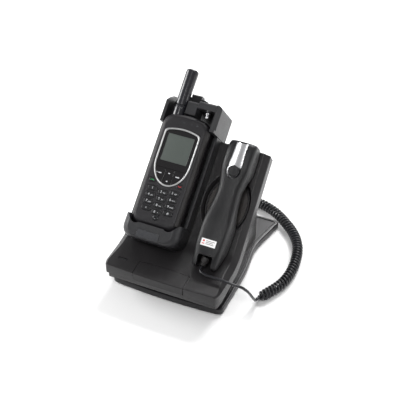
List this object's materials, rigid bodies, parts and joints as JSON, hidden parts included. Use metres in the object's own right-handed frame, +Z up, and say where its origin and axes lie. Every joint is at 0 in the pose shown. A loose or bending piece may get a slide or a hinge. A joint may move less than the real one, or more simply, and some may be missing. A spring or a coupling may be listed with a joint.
{
  "type": "satellite phone in a desk docking stand",
  "caption": "Rugged satellite phone standing in a docking cradle on a sloped desk stand, with a privacy handset on a curly cord.",
  "frame": {"origin": "centre of the stand's footprint on the desk, under the middle of the object without its cord", "axes": "+X to the user's right, +Y from the front palm rest to the rear, +Z up"},
  "size_m": [0.2042, 0.2282, 0.2057],
  "materials": {
    "stand_plastic": "fine texture",
    "base_plastic": "fine texture",
    "dock_plastic": "satin",
    "plate": "satin",
    "phone_plastic": "matte",
    "keys": "satin",
    "grip_rubber": "matte",
    "ring_chrome": "bright",
    "black_glass": "gloss",
    "display": "gloss",
    "gloss_plastic": "gloss",
    "handset_plastic": "satin",
    "grille": "satin",
    "steel": "satin",
    "gold_contacts": "bright",
    "circuit_board": "satin",
    "battery": "satin",
    "cord_jacket": "satin"
  },
  "bodies": {
    "stand": {"base_plate": "base_plastic", "rubber_foot_front": "grip_rubber", "rubber_foot_rear": "grip_rubber", "pedestal": "stand_plastic", "handset_socket": "gloss_plastic", "power_inlet": "gloss_plastic", "stand_top_shell": "stand_plastic", "stand_rear_shell": "stand_plastic", "speaker_grille": "grille", "speaker": "gloss_plastic", "main_board": "circuit_board", "dock_cradle": "dock_plastic", "dock_cup": "dock_plastic", "cup_plate": "plate", "charge_contacts": "gold_contacts", "dock_head": "dock_plastic", "latch_pin": "steel", "antenna_connector": "steel", "cord_lead": "cord_jacket", "cord_coil": "cord_jacket", "cord_tail": "cord_jacket", "cord_plug": "gloss_plastic"},
    "phone": {"phone_front_shell": "phone_plastic", "phone_rear_shell": "phone_plastic", "phone_battery": "battery", "phone_board": "circuit_board", "side_grip_left": "grip_rubber", "side_grip_right": "grip_rubber", "display_ring": "ring_chrome", "display_surround": "black_glass", "lcd_panel": "display", "mic_cap": "gloss_plastic", "antenna_collar": "gloss_plastic"},
    "antenna": {"antenna": "gloss_plastic"},
    "latch": {"latch_lever": "dock_plastic"},
    "door": {"front_door": "stand_plastic"},
    "handset": {"handset_back_shell": "handset_plastic", "handset_face_shell": "handset_plastic", "ear_cushion": "grip_rubber", "mouthpiece_mic": "gloss_plastic", "handset_inlay": "ring_chrome", "strain_relief": "grip_rubber"},
    "hook_button": {"handset_button": "handset_plastic"},
    "soft_key_left": {"soft_key_left": "black_glass"},
    "soft_key_right": {"soft_key_right": "black_glass"},
    "nav_key": {"nav_key": "black_glass"},
    "call_key": {"call_key": "keys"},
    "end_key": {"end_key": "keys"},
    "key_1": {"key_1": "keys"},
    "key_2": {"key_2": "keys"},
    "key_3": {"key_3": "keys"},
    "key_4": {"key_4": "keys"},
    "key_5": {"key_5": "keys"},
    "key_6": {"key_6": "keys"},
    "key_7": {"key_7": "keys"},
    "key_8": {"key_8": "keys"},
    "key_9": {"key_9": "keys"},
    "key_star": {"key_star": "keys"},
    "key_0": {"key_0": "keys"},
    "key_hash": {"key_hash": "keys"}
  },
  "joints": [
    {"name": "phone_lift", "type": "slide", "parent": "stand", "child": "phone", "axis": [0, -0.4121, 0.9111], "range_m": [0, 0.06]},
    {"name": "antenna_pull", "type": "slide", "parent": "phone", "child": "antenna", "axis": [0, 0.766, 0.6428], "range_m": [0, 0.035]},
    {"name": "latch_turn", "type": "hinge", "parent": "stand", "child": "latch", "pos_m": [-0.0333, 0.08165, 0.17032], "axis": [1, 0, 0], "range_deg": [-12, 0]},
    {"name": "door_turn", "type": "hinge", "parent": "stand", "child": "door", "pos_m": [0, -0.1024, 0.0342], "axis": [1, 0, 0], "range_deg": [0, 70]},
    {"name": "handset_lift", "type": "slide", "parent": "stand", "child": "handset", "axis": [0, -0.6428, 0.766], "range_m": [0, 0.06]},
    {"name": "hook_button_press", "type": "slide", "parent": "handset", "child": "hook_button", "axis": [0, 0.6428, -0.766], "range_m": [0, 0.001], "stiffness_N_per_m": 900},
    {"name": "soft_key_left_press", "type": "slide", "parent": "phone", "child": "soft_key_left", "axis": [0, 0.6428, -0.766], "range_m": [0, 0.0006], "stiffness_N_per_m": 900},
    {"name": "soft_key_right_press", "type": "slide", "parent": "phone", "child": "soft_key_right", "axis": [0, 0.6428, -0.766], "range_m": [0, 0.0006], "stiffness_N_per_m": 900},
    {"name": "nav_key_press", "type": "slide", "parent": "phone", "child": "nav_key", "axis": [0, 0.6428, -0.766], "range_m": [0, 0.0006], "stiffness_N_per_m": 900},
    {"name": "call_key_press", "type": "slide", "parent": "phone", "child": "call_key", "axis": [0, 0.6428, -0.766], "range_m": [0, 0.0006], "stiffness_N_per_m": 900},
    {"name": "end_key_press", "type": "slide", "parent": "phone", "child": "end_key", "axis": [0, 0.6428, -0.766], "range_m": [0, 0.0006], "stiffness_N_per_m": 900},
    {"name": "key_1_press", "type": "slide", "parent": "phone", "child": "key_1", "axis": [0, 0.6428, -0.766], "range_m": [0, 0.0006], "stiffness_N_per_m": 900},
    {"name": "key_2_press", "type": "slide", "parent": "phone", "child": "key_2", "axis": [0, 0.6428, -0.766], "range_m": [0, 0.0006], "stiffness_N_per_m": 900},
    {"name": "key_3_press", "type": "slide", "parent": "phone", "child": "key_3", "axis": [0, 0.6428, -0.766], "range_m": [0, 0.0006], "stiffness_N_per_m": 900},
    {"name": "key_4_press", "type": "slide", "parent": "phone", "child": "key_4", "axis": [0, 0.6428, -0.766], "range_m": [0, 0.0006], "stiffness_N_per_m": 900},
    {"name": "key_5_press", "type": "slide", "parent": "phone", "child": "key_5", "axis": [0, 0.6428, -0.766], "range_m": [0, 0.0006], "stiffness_N_per_m": 900},
    {"name": "key_6_press", "type": "slide", "parent": "phone", "child": "key_6", "axis": [0, 0.6428, -0.766], "range_m": [0, 0.0006], "stiffness_N_per_m": 900},
    {"name": "key_7_press", "type": "slide", "parent": "phone", "child": "key_7", "axis": [0, 0.6428, -0.766], "range_m": [0, 0.0006], "stiffness_N_per_m": 900},
    {"name": "key_8_press", "type": "slide", "parent": "phone", "child": "key_8", "axis": [0, 0.6428, -0.766], "range_m": [0, 0.0006], "stiffness_N_per_m": 900},
    {"name": "key_9_press", "type": "slide", "parent": "phone", "child": "key_9", "axis": [0, 0.6428, -0.766], "range_m": [0, 0.0006], "stiffness_N_per_m": 900},
    {"name": "key_star_press", "type": "slide", "parent": "phone", "child": "key_star", "axis": [0, 0.6428, -0.766], "range_m": [0, 0.0006], "stiffness_N_per_m": 900},
    {"name": "key_0_press", "type": "slide", "parent": "phone", "child": "key_0", "axis": [0, 0.6428, -0.766], "range_m": [0, 0.0006], "stiffness_N_per_m": 900},
    {"name": "key_hash_press", "type": "slide", "parent": "phone", "child": "key_hash", "axis": [0, 0.6428, -0.766], "range_m": [0, 0.0006], "stiffness_N_per_m": 900}
  ]
}
